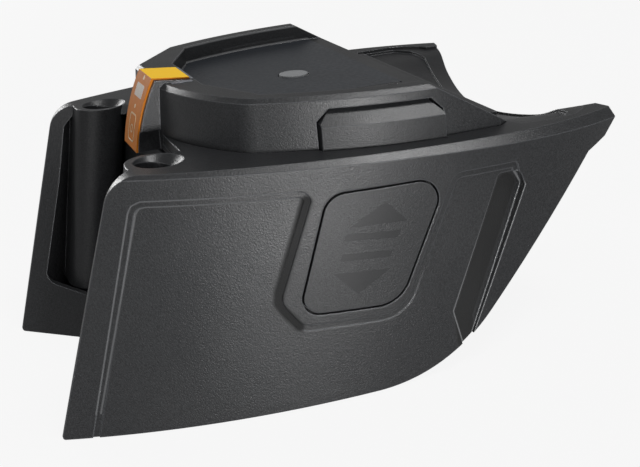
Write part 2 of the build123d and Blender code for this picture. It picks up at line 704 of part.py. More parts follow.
def coil_spring():
    """Compression spring between the housing wall and the link, along Y."""
    gap = 0.15
    length = SPRING_SEAT_Y - TUB_HALF - 2 * gap - SPRING_WIRE
    radius = SPRING_R - SPRING_WIRE / 2
    path = Helix(length / SPRING_TURNS, length, radius)
    section = Plane(path @ 0, z_dir=path % 0) * Circle(SPRING_WIRE / 2)
    coil = sweep(section, path)
    return Pos(SPRING_X, TUB_HALF + gap + SPRING_WIRE / 2, SPRING_Z) * Rot(-90, 0, 0) * coil


def cell_centres():
    """Centres of the cells from above: rows of three, four and three that lean with the housing."""
    centres = []
    for row, count in enumerate((3, 4, 3)):
        z = CELL_TOP_Z - row * CELL_PITCH
        x0 = BLOCK_LEFT_X + lean_x(z) + TUB_T + CELL_R + FRAME_SKIN + 0.6
        x0 += 0 if row else TOP_ROW_SHIFT
        centres.append([(x0 + column * CELL_PITCH, z) for column in range(count)])
    return centres


def along_y(x, z, radius, y0, y1):
    return Pos(x, (y0 + y1) / 2, z) * Rot(90, 0, 0) * Cylinder(radius, y1 - y0)


def cell(x, z):
    """One cell with its wrapper: a can with a shoulder and a raised contact at one end."""
    half = CELL_LENGTH / 2
    can = along_y(x, z, CELL_R, -half, half)
    can = chamfer(can.edges().filter_by(GeomType.CIRCLE), 0.5)
    groove = along_y(x, z, CELL_R + 1, half - 4.2, half - 3.2)
    return can - (groove - along_y(x, z, CELL_R - 0.6, half - 5, half - 2))


def frame_rows(grow):
    """Side view of the cell frame, one rounded row over the other."""
    rows = None
    for row in cell_centres():
        x0, z = row[0]
        x1 = row[-1][0]
        slab = Pos((x0 + x1) / 2, z) * SlotCenterToCenter(x1 - x0, 2 * (CELL_R + grow))
        rows = slab if rows is None else rows + slab
    return rows


def cell_frame():
    """Frame round the far ends of the cells, with a lip over each end and feet for the board."""
    half = CELL_LENGTH / 2
    end = half + SEAM + FRAME_LIP
    frame = side_cut(frame_rows(FRAME_SKIN), FRAME_INNER, end)
    for row in cell_centres():
        for x, z in row:
            frame -= along_y(x, z, CELL_R + CELL_CLEAR, 0, half + SEAM)
            frame -= along_y(x, z, CELL_R * 0.62, 0, end + 1)
    top = CELL_TOP_Z + CELL_R + FRAME_SKIN
    for x in board_screw_xs():
        foot = box(x - 3, x + 3, FRAME_INNER, end, top - 1, BOARD_Z)
        foot &= box(x - 3, x + 3, BOARD_SCREW_Y - 3, BOARD_SCREW_Y + 3, -FAR, FAR)
        frame += foot
        frame -= Pos(x, BOARD_SCREW_Y, BOARD_Z) * Cylinder(BOARD_SCREW_R, 5)
    return frame


def board_screw_xs():
    row = cell_centres()[0]
    return (row[0][0] + 2.5, row[-1][0] - 2.5)


def insulator_rings():
    group = None
    y0 = CELL_LENGTH / 2 + SEAM / 3
    for row in cell_centres():
        for x, z in row:
            ring = along_y(x, z, CELL_R * 0.6, y0, y0 + 0.3)
            ring -= along_y(x, z, CELL_R * 0.35, y0 - 1, y0 + 1)
            group = ring if group is None else group + ring
    return group


def bus_strips(near):
    """Welded strips that join the cells in series, pair by pair, at one end of the cells."""
    y0 = CELL_LENGTH / 2 + SEAM + FRAME_LIP + 0.1
    rows = cell_centres()
    cells = rows[0] + rows[1][::-1] + rows[2]
    start = 1 if near else 0
    group = None
    for index in range(start, len(cells) - 1, 2):
        (x0, z0), (x1, z1) = cells[index], cells[index + 1]
        reach = hypot(x1 - x0, z1 - z0)
        turn = degrees(atan((z1 - z0) / (x1 - x0))) if abs(x1 - x0) > 1 else 90
        shape = Pos((x0 + x1) / 2, (z0 + z1) / 2) * Rot(0, 0, turn) * SlotCenterToCenter(reach, 8)
        strip = side_cut(shape, y0, y0 + STRIP_T)
        for x, z in ((x0, z0), (x1, z1)):
            strip += along_y(x, z, CELL_R * 0.3, CELL_LENGTH / 2 + 0.05, y0 + STRIP_T / 2)
        group = strip if group is None else group + strip
    return group


def insulating_sheet():
    y0 = CELL_LENGTH / 2 + SEAM + FRAME_LIP + STRIP_T + 0.25
    return side_cut(frame_rows(FRAME_SKIN - 0.6), y0, y0 + SHEET_T)


def foam_pad():
    y0 = CELL_LENGTH / 2 + SEAM + FRAME_LIP + STRIP_T + SHEET_T + 0.55
    return side_cut(frame_rows(-1.5), y0, TUB_HALF - TUB_T - 0.3)


def control_board():
    board = box(BOARD_X0, BOARD_X1, -BOARD_HALF, BOARD_HALF, BOARD_Z, BOARD_Z + BOARD_T)
    board = board & block_solid(-COVER_T - 1, z1=FLOOR_Z)
    for x in board_screw_xs():
        for side in (1, -1):
            board -= Pos(x, side * BOARD_SCREW_Y, BOARD_Z + BOARD_T / 2) * Cylinder(BOARD_SCREW_R + 0.15, 5)
    return board


def board_parts():
    """What is soldered on the board: a chip, switching transistors with their legs, a shunt and a fuse."""
    z0 = BOARD_Z + BOARD_T
    group = Part()
    for x, y, length, width, height in BOARD_PARTS:
        group += box(x, x + length, y, y + width, z0, z0 + height)
    return group


def board_screws():
    group = None
    for x in board_screw_xs():
        for side in (1, -1):
            top = BOARD_Z + BOARD_T
            at = (x, side * BOARD_SCREW_Y)
            shank = Pos(*at, top - BOARD_SCREW_L / 2) * Cylinder(BOARD_SCREW_R - 0.05, BOARD_SCREW_L)
            head = Pos(*at, top + BOARD_HEAD_T / 2) * Cylinder(BOARD_HEAD_R, BOARD_HEAD_T)
            drive = Pos(*at, top + BOARD_HEAD_T) * Box(BOARD_HEAD_R / 4, BOARD_HEAD_R * 1.2, BOARD_HEAD_T)
            screw = shank + (head - drive)
            group = screw if group is None else group + screw
    return group


def terminal_block():
    """Block with one slot for each blade of the machine, open at the sunk floor."""
    width = TERMINAL_COUNT * TERMINAL_PITCH
    block = box(TERMINAL_X0, TERMINAL_X0 + width, TERMINAL_Y0, TERMINAL_Y0 + TERMINAL_DEPTH,
                BOARD_Z + BOARD_T + TERMINAL_GAP, TERMINAL_TOP)
    for index in range(TERMINAL_COUNT):
        x = TERMINAL_X0 + (index + 0.5) * TERMINAL_PITCH
        y0 = TERMINAL_Y0 + TERMINAL_WALL
        y1 = TERMINAL_Y0 + TERMINAL_DEPTH - TERMINAL_WALL
        block -= box(x - TERMINAL_SLOT / 2, x + TERMINAL_SLOT / 2, y0, y1, 0, FAR)
    return block


def terminal_clips():
    """Sprung contact clips, one in each slot."""
    group = None
    z0 = BOARD_Z + BOARD_T + TERMINAL_GAP
    z1 = TERMINAL_TOP - CLIP_LOW
    y0 = TERMINAL_Y0 + CLIP_LOW
    y1 = TERMINAL_Y0 + TERMINAL_DEPTH - CLIP_LOW
    for index in range(TERMINAL_COUNT):
        x0 = TERMINAL_X0 + (index + 0.5) * TERMINAL_PITCH - CLIP_W / 2
        x1 = x0 + CLIP_W
        clip = box(x0, x1, y0, y1, z0, z1)
        clip -= box(x0 + CLIP_T, x1 - CLIP_T, y0 - 1, y1 + 1, z0 + CLIP_T, z1 + 1)
        group = clip if group is None else group + clip
    return group


def thermistor():
    """Bead against the top row of cells, with a tail up to the board."""
    row = cell_centres()[0]
    x = (row[0][0] + row[1][0]) / 2
    z = row[0][1] + sqrt((CELL_R + 1.45) ** 2 - (CELL_PITCH / 2) ** 2)
    bead = along_y(x, z, 1.4, -4, 4)
    return bead + box(x - 0.4, x + 0.4, -1.5, 1.5, z, BOARD_Z - 0.05)


def housing_screws():
    """Screws from below into the lugs of both wings."""
    group = None
    for x in LUG_XS:
        for side in (1, -1):
            y = side * lug_y(x)
            shank = extrude(foot_plane(x, y, SCREW_HEAD_T) * Circle(SCREW_R - 0.05), SCREW_LENGTH)
            head = extrude(foot_plane(x, y, 0.1) * Circle(SCREW_HEAD_R), SCREW_HEAD_T - 0.1)
            drive = extrude(foot_plane(x, y, 0) * RegularPolygon(1.4, 6), 1.0)
            screw = shank + head - drive
            group = screw if group is None else group + screw
    return group


def both(solid):
    """A piece for the far side and its mirror image for the near side."""
    return solid, mirror(solid, about=Plane.XZ)


def pieces():
    made = {
        "top_cover": top_cover(),
        "lower_housing": lower_housing(),
        "orange_band": orange_band(),
        "blank_label_plate": label_plate(),
        "vent_disc": vent_disc(),
        "terminal_block": terminal_block(),
        "terminal_clips": terminal_clips(),
        "control_board": control_board(),
        "board_parts": board_parts(),
        "board_screws": board_screws(),
        "housing_screws": housing_screws(),
        "thermistor": thermistor(),
        "far_side_cover": side_cover(),
        "near_side_cover": mirror(side_cover(near=True), about=Plane.XZ),
        "far_bus_strips": bus_strips(False),
        "near_bus_strips": mirror(bus_strips(True), about=Plane.XZ),
    }
    for name, solid in (
        ("catch", catch()),
        ("latch_link", latch_link()),
        ("release_button", button()),
        ("return_spring", coil_spring()),
        ("cell_frame", cell_frame()),
        ("insulator_rings", insulator_rings()),
        ("insulating_sheet", insulating_sheet()),
        ("foam_pad", foam_pad()),
    ):
        made["far_" + name], made["near_" + name] = both(solid)
    number = 0
    for row in cell_centres():
        for x, z in row:
            number += 1
            made["cell_" + str(number)] = cell(x, z)
    return made


def stand(shape, shift=(0, 0, 0)):
    """Tilt a piece so that the pack stands on its wings, then move it onto its origin."""
    return Pos(*shift) * Rot(0, STAND_TILT, 0) * shape


def main():
    made = pieces()
    boxes = [stand(solid).bounding_box() for solid in made.values()]
    low = [min(b.min.X for b in boxes), min(b.min.Y for b in boxes), min(b.min.Z for b in boxes)]
    high = [max(b.max.X for b in boxes), max(b.max.Y for b in boxes)]
    shift = (-(low[0] + high[0]) / 2, -(low[1] + high[1]) / 2, -low[2])
    for name, solid in made.items():
        export_step(stand(solid, shift), os.path.join("parts", name + ".step"))
    print("moved by", [round(value, 4) for value in shift], "tilt", round(STAND_TILT, 4))


if __name__ == "__main__":
    main()
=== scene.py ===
import math

import bmesh
import bpy
from bpy.props import FloatProperty, FloatVectorProperty, IntProperty, PointerProperty
from mathutils import Matrix, Vector


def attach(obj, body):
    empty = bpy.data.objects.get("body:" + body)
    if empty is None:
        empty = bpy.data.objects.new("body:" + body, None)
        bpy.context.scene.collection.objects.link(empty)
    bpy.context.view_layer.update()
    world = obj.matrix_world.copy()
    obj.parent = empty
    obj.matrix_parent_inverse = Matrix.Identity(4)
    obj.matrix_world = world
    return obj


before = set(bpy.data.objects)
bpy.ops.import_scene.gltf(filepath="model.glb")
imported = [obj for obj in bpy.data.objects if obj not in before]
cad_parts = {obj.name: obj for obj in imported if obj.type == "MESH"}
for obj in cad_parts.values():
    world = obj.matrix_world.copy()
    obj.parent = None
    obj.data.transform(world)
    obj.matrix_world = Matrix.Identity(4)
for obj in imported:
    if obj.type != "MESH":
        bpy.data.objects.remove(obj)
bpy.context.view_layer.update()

bl_info = {
    "name": "Vacuum cleaner battery looks",
    "version": (1, 0, 0),
    "blender": (4, 5, 0),
    "location": "3D View > Sidebar > Battery",
    "description": "Dresses the battery's CAD frame with moulded plastic, film, metal and small trim",
    "category": "Object",
}

# The pack is drawn in millimetres with its deck level, then tilted onto its standing edges
TILT = math.radians(4.3203)
SHIFT = (-0.0422668, 0.0, 0.067554)
# The wings in the side view: how far they lean with height, the place and half width of their crest,
# and the radius of their crown behind it and toward the nose
LEAN = 0.17
CREST = (84.0, 65.9)
REAR_R = 227.1
NOSE_R = 97.6
# Fold, middle and foot of the band's curved face, in the side view
BAND = ((7.8, 15.2), (3.45, 5.0), (1.15, -5.0))

# Half width, in metres, beyond which the wings have nothing inside them near these lines
WING_SKIN = 0.052
# Lines of the sunk field and the slot on the wings, in the side view, along which shade and highlights are
# painted
SLOT_MIDDLE = ((86.4, -13.4), (72.2, -47.6), (72.6, -54.0))
SLOT_LEFT_RIM = ((83.2, -11.2), (69.2, -45.4), (72.0, -57.0))
SLOT_RIGHT_RIM = ((88.6, -9.9), (91.0, -14.0), (74.6, -53.0), (73.6, -57.0))
FIELD_WALL = ((32.2, -9.6), (23.4, -33.2), (23.0, -36.0), (24.2, -38.2), (27.8, -42.9))
FIELD_RIM = ((-24.6, -63.0), (-10.2, -9.6), (-9.2, -7.5), (-7.0, -6.5), (30.0, -7.0))
FIELD_STEP_RIM = ((-23.4, -63.0), (-8.3, -9.8), (-7.4, -8.5), (-6.0, -8.1), (29.6, -8.6))
# Edges of the walls round the sunk floor, in the side view, along which highlights are painted
RECESS_TOP_RIM = ((12.0, 13.5), (74.0, 13.5))
RECESS_FLOOR_RIM = ((12.0, 8.6), (74.0, 8.6))

# Name, place, width, height in metres and watts of each lamp; all point at LIT_POINT
LAMPS = (
    ("top_lamp", (0.32, -0.38, 1.0), 0.3, 0.3, 6.0),
    ("front_lamp", (-0.10, -1.0, 0.03), 0.12, 0.06, 5.0),
    ("side_lamp", (-0.75, -0.85, 0.45), 0.25, 0.25, 2.0),
    ("back_lamp", (-0.35, 1.0, 0.42), 0.5, 0.3, 4.5),
)
LIT_POINT = Vector((0, 0, 0.03))
WORLD_LIGHT = 0.2
# Share of plain white that the floor shows to the camera, and to mirrored rays
FLOOR_WHITE = 0.9
FLOOR_MIRRORED = 0.12
FLOOR_HALF = 6.0

# Camera fitted to the photograph: lens on a 36 mm sensor, place and axes in the row frame
LENS = 68.065
SENSOR = 36.0
CAMERA_PLACE = (-0.095917, -0.331197, 0.157464)
CAMERA_RIGHT = (0.92532, -0.35377, -0.13648)
CAMERA_UP = (0.24973, 0.29772, 0.92141)
CAMERA_BACK = (-0.28533, -0.88668, 0.36384)

# Release sign on the buttons, in the side view: corners of its two arrowheads and two bars, how deep
# they go into the button, and the cuts, a millimetre apart, that let them follow its crown
SIGN_SHAPES = (
    ((51.9, -12.2), (42.1, -17.8), (57.3, -17.9)),
    ((41.3, -19.4), (55.4, -20.2), (54.6, -22.0), (40.6, -21.2)),
    ((40.0, -24.6), (53.0, -25.2), (52.2, -26.9), (39.3, -26.4)),
    ((37.1, -29.5), (52.0, -30.1), (43.4, -35.8)),
)
SIGN_SUNK = 0.2
SIGN_LEFT = 38.0
SIGN_CUTS = 26

# Prints on the band, in millimetres: across the pack, down from the fold, then radius or half sizes
BAND_DOTS = ((0.6, 1.1, 0.7), (-0.2, 9.6, 0.6))
HATCH_MIDDLE = 5.0
HATCH_HALF = 4.0
HATCH_CORNER = 0.5
OUTLINE_HALF = 3.4
OUTLINE_TOP = 11.6
OUTLINE_FOOT = 19.6
OUTLINE_CORNER = 1.4
OUTLINE_WIDTH = 0.45
RING_MIDDLE = 16.0
RING_RADIUS = 1.25
RING_WIDTH = 0.4
# Cuts, a millimetre apart, that let a print follow the curved band
PRINT_CUTS = 20
# Thin frame beside the band, in millimetres: its two ends, its half width inside, its lowest and highest
# face, the bevel of its edges, and the two ends and two sides of its short bar
FRAME_LEFT = 9.4
FRAME_RIGHT = 19.4
FRAME_HALF = 8.0
FRAME_LOW = 13.4
FRAME_HIGH = 13.9
FRAME_EDGE = 0.12
SHORT_BAR = (12.6, 18.4, -11.6, -9.8)

# How much paler than the grain the edges of a moulding are painted, partly for wear and partly as a painted
# highlight
EDGE_PALER = 4.5
# How much rougher the surface is where shade is painted in the sunk edges
SUNK_ROUGHER = 0.35
CELL_COUNT = 10

# Cell body from its middle to the edge of its film, in metres
FILM_END = 0.03215

HOUSING_NODES = ("top_cover", "lower_housing", "near_side_cover", "far_side_cover")


def drawing_matrix():
    """From the level drawing in millimetres to the row frame in metres."""
    return Matrix.Translation(SHIFT) @ Matrix.Rotation(TILT, 4, "Y") @ Matrix.Scale(0.001, 4)


def wing_y(x, z):
    """Half width of the crowned wings at a point of the side view."""
    level_x = x - LEAN * z
    radius = REAR_R if level_x < CREST[0] else NOSE_R
    return CREST[1] - radius + math.sqrt(radius ** 2 - (level_x - CREST[0]) ** 2)


# Shader building


def add_node(tree, kind, inputs=None, **settings):
    """A shader node with its settings, and its inputs given as numbers or as other nodes' outputs."""
    made = tree.nodes.new("ShaderNode" + kind)
    for key, value in settings.items():
        setattr(made, key, value)
    for key, value in (inputs or {}).items():
        if isinstance(value, bpy.types.NodeSocket):
            tree.links.new(value, made.inputs[key])
        else:
            made.inputs[key].default_value = value
    return made


def maths(tree, operation, first, second=0.0, clamp=False):
    """Result of one sum on two values."""
    return add_node(tree, "Math", {0: first, 1: second}, operation=operation, use_clamp=clamp).outputs[0]


def spread(tree, value, low, high, to_low=0.0, to_high=1.0):
    """A value between two limits, brought to another range and held there."""
    inputs = {"Value": value, "From Min": low, "From Max": high, "To Min": to_low, "To Max": to_high}
    return add_node(tree, "MapRange", inputs, clamp=True).outputs["Result"]


def tint(tree, share, first, second):
    """Mix of two colours. The numbers are the colour sockets of Blender's Mix node."""
    return add_node(tree, "Mix", {0: share, 6: first, 7: second}, data_type="RGBA").outputs[2]


def new_group(name, inputs, outputs):
    """An empty node group with named sockets, and its two end nodes."""
    tree = bpy.data.node_groups.new(name, "ShaderNodeTree")
    for key, (kind, value) in inputs.items():
        socket = tree.interface.new_socket(name=key, in_out="INPUT", socket_type="NodeSocket" + kind)
        if value is not None:
            socket.default_value = value
    for key, kind in outputs.items():
        tree.interface.new_socket(name=key, in_out="OUTPUT", socket_type="NodeSocket" + kind)
    return tree, tree.nodes.new("NodeGroupInput").outputs, tree.nodes.new("NodeGroupOutput").inputs


def place_group(tree, name, **values):
    """A node group placed in a material, with its own values. Returns its outputs."""
    made = tree.nodes.new("ShaderNodeGroup")
    made.node_tree = bpy.data.node_groups[name]
    for key, value in values.items():
        socket = made.inputs[key]
        if isinstance(value, bpy.types.NodeSocket):
            tree.links.new(value, socket)
        else:
            socket.default_value = value
    return made.outputs


def make_grain_group():
    """Spark-eroded mould grain: two sizes of noise with small pits between them."""
    inputs = {"Vector": ("Vector", None), "Size": ("Float", 0.5)}
    tree, given, result = new_group("mould_grain", inputs, {"Height": "Float", "Speckle": "Float"})
    per_metre = maths(tree, "DIVIDE", 1000.0, given["Size"])
    coarse = add_node(tree, "TexNoise", {"Vector": given["Vector"], "Scale": per_metre, "Detail": 3.0})
    finer = maths(tree, "MULTIPLY", per_metre, 2.3)
    fine = add_node(tree, "TexNoise", {"Vector": given["Vector"], "Scale": finer, "Detail": 2.0})
    pits = add_node(tree, "TexVoronoi", {"Vector": given["Vector"], "Scale": per_metre}, feature="SMOOTH_F1")
    both = maths(tree, "ADD", coarse.outputs["Fac"], maths(tree, "MULTIPLY", fine.outputs["Fac"], 0.6))
    height = maths(tree, "ADD", both, maths(tree, "MULTIPLY", pits.outputs["Distance"], 0.35))
    tree.links.new(height, result["Height"])
    tree.links.new(spread(tree, both, 0.62, 1.0), result["Speckle"])


def make_edge_group():
    """Small radius on every hard edge, and a mask of where it turns."""
    inputs = {"Radius": ("Float", 0.0004)}
    tree, given, result = new_group("soft_edge", inputs, {"Normal": "Vector", "Edge": "Float"})
    turned = add_node(tree, "Bevel", {"Radius": given["Radius"]}, samples=6)
    face = add_node(tree, "NewGeometry")
    pair = {0: turned.outputs[0], 1: face.outputs["Normal"]}
    same = add_node(tree, "VectorMath", pair, operation="DOT_PRODUCT")
    tree.links.new(turned.outputs[0], result["Normal"])
    tree.links.new(spread(tree, same.outputs["Value"], 0.995, 0.86), result["Edge"])


def make_handling_group():
    """Soft uneven sheen from handling, and faint fine scratches."""
    inputs = {"Vector": ("Vector", None), "Size": ("Float", 30.0)}
    tree, given, result = new_group("handling", inputs, {"Sheen": "Float", "Scratch": "Float"})
    per_metre = maths(tree, "DIVIDE", 1000.0, given["Size"])
    wide = {"Vector": given["Vector"], "Scale": per_metre, "Detail": 4.0, "Distortion": 0.4}
    cloud = add_node(tree, "TexNoise", wide)
    drawn_out = {"Vector": given["Vector"], "Rotation": (0.3, 0.5, 0.7), "Scale": (60, 900, 900)}
    turned = add_node(tree, "Mapping", drawn_out)
    lines = add_node(tree, "TexNoise", {"Vector": turned.outputs[0], "Scale": 1.0, "Detail": 1.0})
    tree.links.new(spread(tree, cloud.outputs["Fac"], 0.3, 0.7), result["Sheen"])
    tree.links.new(spread(tree, lines.outputs["Fac"], 0.7, 0.76), result["Scratch"])


def make_drawn_group():
    """Lines of drawn or rolled metal along one direction."""
    inputs = {"Vector": ("Vector", None), "Stretch": ("Vector", (1.0, 1.0, 1.0))}
    tree, given, result = new_group("drawn_metal", inputs, {"Height": "Float", "Streak": "Float"})
    moved = add_node(tree, "VectorMath", {0: given["Vector"], 1: given["Stretch"]}, operation="MULTIPLY")
    lines = add_node(tree, "TexNoise", {"Vector": moved.outputs[0], "Scale": 1000.0, "Detail": 3.0})
    tree.links.new(lines.outputs["Fac"], result["Height"])
    tree.links.new(spread(tree, lines.outputs["Fac"], 0.35, 0.65), result["Streak"])


def make_line_group():
    """A soft line between two points of the side view, in millimetres of the level drawing."""
    inputs = {
        "Vector": ("Vector", None),
        "Start": ("Vector", (0.0, 0.0, 0.0)),
        "End": ("Vector", (1.0, 0.0, 0.0)),
        "Width": ("Float", 1.0),
        "Blur": ("Float", 0.5),
    }
    tree, given, result = new_group("soft_line", inputs, {"Line": "Float"})
    place = {
        "Vector": given["Vector"],
        "Location": SHIFT,
        "Rotation": (0, TILT, 0),
        "Scale": (0.001, 0.001, 0.001),
    }
    level = add_node(tree, "Mapping", place, vector_type="TEXTURE")
    flat = add_node(tree, "VectorMath", {0: level.outputs[0], 1: (1, 0, 1)}, operation="MULTIPLY").outputs[0]
    from_start = add_node(tree, "VectorMath", {0: flat, 1: given["Start"]}, operation="SUBTRACT").outputs[0]
    run = add_node(tree, "VectorMath", {0: given["End"], 1: given["Start"]}, operation="SUBTRACT").outputs[0]
    part = add_node(tree, "VectorMath", {0: from_start, 1: run}, operation="DOT_PRODUCT").outputs["Value"]
    whole = add_node(tree, "VectorMath", {0: run, 1: run}, operation="DOT_PRODUCT").outputs["Value"]
    share = maths(tree, "DIVIDE", part, whole, clamp=True)
    nearest = add_node(tree, "VectorMath", {0: run, "Scale": share}, operation="SCALE").outputs[0]
    off = add_node(tree, "VectorMath", {0: from_start, 1: nearest}, operation="DISTANCE").outputs["Value"]
    half = maths(tree, "MULTIPLY", given["Width"], 0.5)
    outer = maths(tree, "ADD", half, given["Blur"])
    made = add_node(tree, "MapRange", {"Value": off, "From Min": outer, "From Max": half}, clamp=True)
    tree.links.new(made.outputs["Result"], result["Line"])


def new_material(name):
    """A material with its surface shader, and the object coordinates that its patterns read."""
    made = bpy.data.materials.new(name)
    made.use_nodes = True
    tree = made.node_tree
    surface = tree.nodes["Principled BSDF"]
    spot = add_node(tree, "TexCoord").outputs["Object"]
    return made, tree, surface, spot


def rounded_bump(tree, surface, height, depth, radius):
    """A bump over softened edges, in metres. Returns the mask of the edges."""
    edge = place_group(tree, "soft_edge", Radius=radius)
    inputs = {"Height": height, "Distance": depth, "Strength": 1.0, "Normal": edge["Normal"]}
    bump = add_node(tree, "Bump", inputs)
    tree.links.new(bump.outputs[0], surface.inputs["Normal"])
    return edge["Edge"]


def moulded_plastic(name, dark, light, grain, depth, rough, edge_share, radius):
    """Grained moulding: speckled colour, uneven sheen, and edges painted paler, partly for wear and partly as
    a painted highlight.

    The grain is in millimetres, its depth and the edge radius in metres.
    """
    made, tree, surface, spot = new_material(name)
    skin = place_group(tree, "mould_grain", Vector=spot, Size=grain)
    hand = place_group(tree, "handling", Vector=spot, Size=30.0)
    edge = rounded_bump(tree, surface, skin["Height"], depth, radius)
    speckled = tint(tree, skin["Speckle"], (*dark, 1), (*light, 1))
    pale = [EDGE_PALER * value for value in light]
    clouded = tint(tree, maths(tree, "MULTIPLY", hand["Sheen"], 0.22), speckled, (*light, 1))
    scuffed = tint(tree, maths(tree, "MULTIPLY", hand["Scratch"], 0.06), clouded, (*pale, 1))
    # Hard edges painted paler: partly wear, partly a painted highlight
    worn_and_highlit = tint(tree, maths(tree, "MULTIPLY", edge, edge_share), scuffed, (*pale, 1))
    tree.links.new(worn_and_highlit, surface.inputs["Base Color"])
    worn = spread(tree, hand["Sheen"], 0, 1, rough + 0.05, rough - 0.05)
    uneven = maths(tree, "SUBTRACT", worn, maths(tree, "MULTIPLY", edge, 0.1))
    tree.links.new(uneven, surface.inputs["Roughness"])
    return made


def band_film(side, top):
    """Folded film: its orange below the fold, and the flat top painted brighter as a painted highlight for
    the light from above.
    """
    deeper = [0.85 * value for value in side]
    made = film("orange_film", deeper, side, rough=0.6, mottle=160.0, depth=0.00002)
    tree = made.node_tree
    surface = tree.nodes["Principled BSDF"]
    surface.inputs["Specular IOR Level"].default_value = 0.25
    # Faces turned up take the brighter colour: painted light on the top of the band
    upward = add_node(tree, "SeparateXYZ", {0: add_node(tree, "NewGeometry").outputs["Normal"]}).outputs["Z"]
    printed = surface.inputs["Base Color"].links[0].from_socket
    folded = tint(tree, spread(tree, upward, 0.6, 0.9), printed, (*top, 1))
    tree.links.new(folded, surface.inputs["Base Color"])
    return made


def film(name, dark, light, rough, mottle, depth):
    """Printed film: a fine even print with a slight orange-peel surface."""
    made, tree, surface, spot = new_material(name)
    peel = add_node(tree, "TexNoise", {"Vector": spot, "Scale": 900.0, "Detail": 2.0})
    cloud = add_node(tree, "TexNoise", {"Vector": spot, "Scale": mottle, "Detail": 4.0})
    edge = rounded_bump(tree, surface, peel.outputs["Fac"], depth, 0.00015)
    printed = tint(tree, spread(tree, cloud.outputs["Fac"], 0.3, 0.7), (*dark, 1), (*light, 1))
    paler = [min(1.0, 1.3 * value) for value in light]
    worn = tint(tree, maths(tree, "MULTIPLY", edge, 0.25), printed, (*paler, 1))
    tree.links.new(worn, surface.inputs["Base Color"])
    dull = spread(tree, peel.outputs["Fac"], 0.3, 0.7, rough - 0.06, rough + 0.06)
    tree.links.new(dull, surface.inputs["Roughness"])
    return made


def metal(name, dark, light, rough, stretch):
    """Drawn or rolled metal with a dull film in places."""
    made, tree, surface, spot = new_material(name)
    lines = place_group(tree, "drawn_metal", Vector=spot, Stretch=stretch)
    hand = place_group(tree, "handling", Vector=spot, Size=6.0)
    edge = rounded_bump(tree, surface, lines["Height"], 0.00001, 0.00012)
    streaked = tint(tree, lines["Streak"], (*dark, 1), (*light, 1))
    dulled = tint(tree, maths(tree, "MULTIPLY", hand["Sheen"], 0.3), streaked, (*dark, 1))
    bright = tint(tree, maths(tree, "MULTIPLY", edge, 0.5), dulled, (*light, 1))
    tree.links.new(bright, surface.inputs["Base Color"])
    surface.inputs["Metallic"].default_value = 1.0
    tree.links.new(spread(tree, hand["Sheen"], 0, 1, rough - 0.07, rough + 0.1), surface.inputs["Roughness"])
    return made


def hatched_print():
    """Grey print of slanted lines."""
    made, tree, surface, spot = new_material("hatched_print")
    inputs = {"Vector": spot, "Scale": 620.0, "Distortion": 0.0}
    bars = add_node(tree, "TexWave", inputs, wave_type="BANDS", bands_direction="DIAGONAL")
    specks = add_node(tree, "TexNoise", {"Vector": spot, "Scale": 2500.0, "Detail": 2.0})
    share = spread(tree, bars.outputs["Fac"], 0.3, 0.7)
    lined = tint(tree, share, (0.42, 0.33, 0.26, 1), (0.62, 0.58, 0.54, 1))
    tree.links.new(lined, surface.inputs["Base Color"])
    tree.links.new(spread(tree, specks.outputs["Fac"], 0.3, 0.7, 0.4, 0.55), surface.inputs["Roughness"])
    return made


def woven_membrane(pale, shade):
    """Breathable vent membrane: fine woven fibres."""
    made, tree, surface, spot = new_material("vent_membrane")
    threads = {"Vector": spot, "Scale": 700.0, "Distortion": 1.0}
    across = add_node(tree, "TexWave", threads, bands_direction="X")
    along = add_node(tree, "TexWave", threads, bands_direction="Y")
    weave = maths(tree, "MULTIPLY", across.outputs["Fac"], along.outputs["Fac"])
    rounded_bump(tree, surface, weave, 0.00005, 0.0002)
    tree.links.new(tint(tree, weave, (*shade, 1), (*pale, 1)), surface.inputs["Base Color"])
    tree.links.new(spread(tree, weave, 0, 1, 0.75, 0.55), surface.inputs["Roughness"])
    return made


def cell_wrapper(wrap, can):
    """Shrink film over a steel can: film round the body, bare nickel-plated steel at both ends."""
    made, tree, surface, spot = new_material("cell_wrap")
    parts = add_node(tree, "SeparateXYZ", {0: spot})
    reach = maths(tree, "ABSOLUTE", parts.outputs["Y"])
    end = spread(tree, reach, FILM_END, FILM_END + 0.00005)
    creases = add_node(tree, "TexNoise", {"Vector": spot, "Scale": 240.0, "Detail": 3.0, "Distortion": 0.6})
    rounded_bump(tree, surface, creases.outputs["Fac"], 0.00004, 0.0004)
    faded = [0.75 * value for value in wrap]
    film_colour = tint(tree, spread(tree, creases.outputs["Fac"], 0.35, 0.7), (*wrap, 1), (*faded, 1))
    tree.links.new(tint(tree, end, film_colour, (*can, 1)), surface.inputs["Base Color"])
    tree.links.new(end, surface.inputs["Metallic"])
    tree.links.new(spread(tree, creases.outputs["Fac"], 0.3, 0.7, 0.28, 0.42), surface.inputs["Roughness"])
    return made


def printed_board(mask, copper):
    """Solder mask over copper tracks."""
    made, tree, surface, spot = new_material("circuit_board")
    turned = add_node(tree, "Mapping", {"Vector": spot, "Scale": (420, 420, 420)})
    grid = {"Scale": 1.0, "Mortar Size": 0.06, "Brick Width": 1.4, "Row Height": 0.7}
    tracks = add_node(tree, "TexBrick", {"Vector": turned.outputs[0], **grid})
    weave = add_node(tree, "TexNoise", {"Vector": spot, "Scale": 1500.0, "Detail": 2.0})
    rounded_bump(tree, surface, tracks.outputs["Fac"], 0.00003, 0.0002)
    under = tint(tree, maths(tree, "MULTIPLY", tracks.outputs["Fac"], 0.5), (*mask, 1), (*copper, 1))
    deep = [0.7 * value for value in mask]
    cloudy = tint(tree, spread(tree, weave.outputs["Fac"], 0.3, 0.7, 0, 0.25), under, (*deep, 1))
    tree.links.new(cloudy, surface.inputs["Base Color"])
    tree.links.new(spread(tree, weave.outputs["Fac"], 0.3, 0.7, 0.3, 0.4), surface.inputs["Roughness"])
    return made


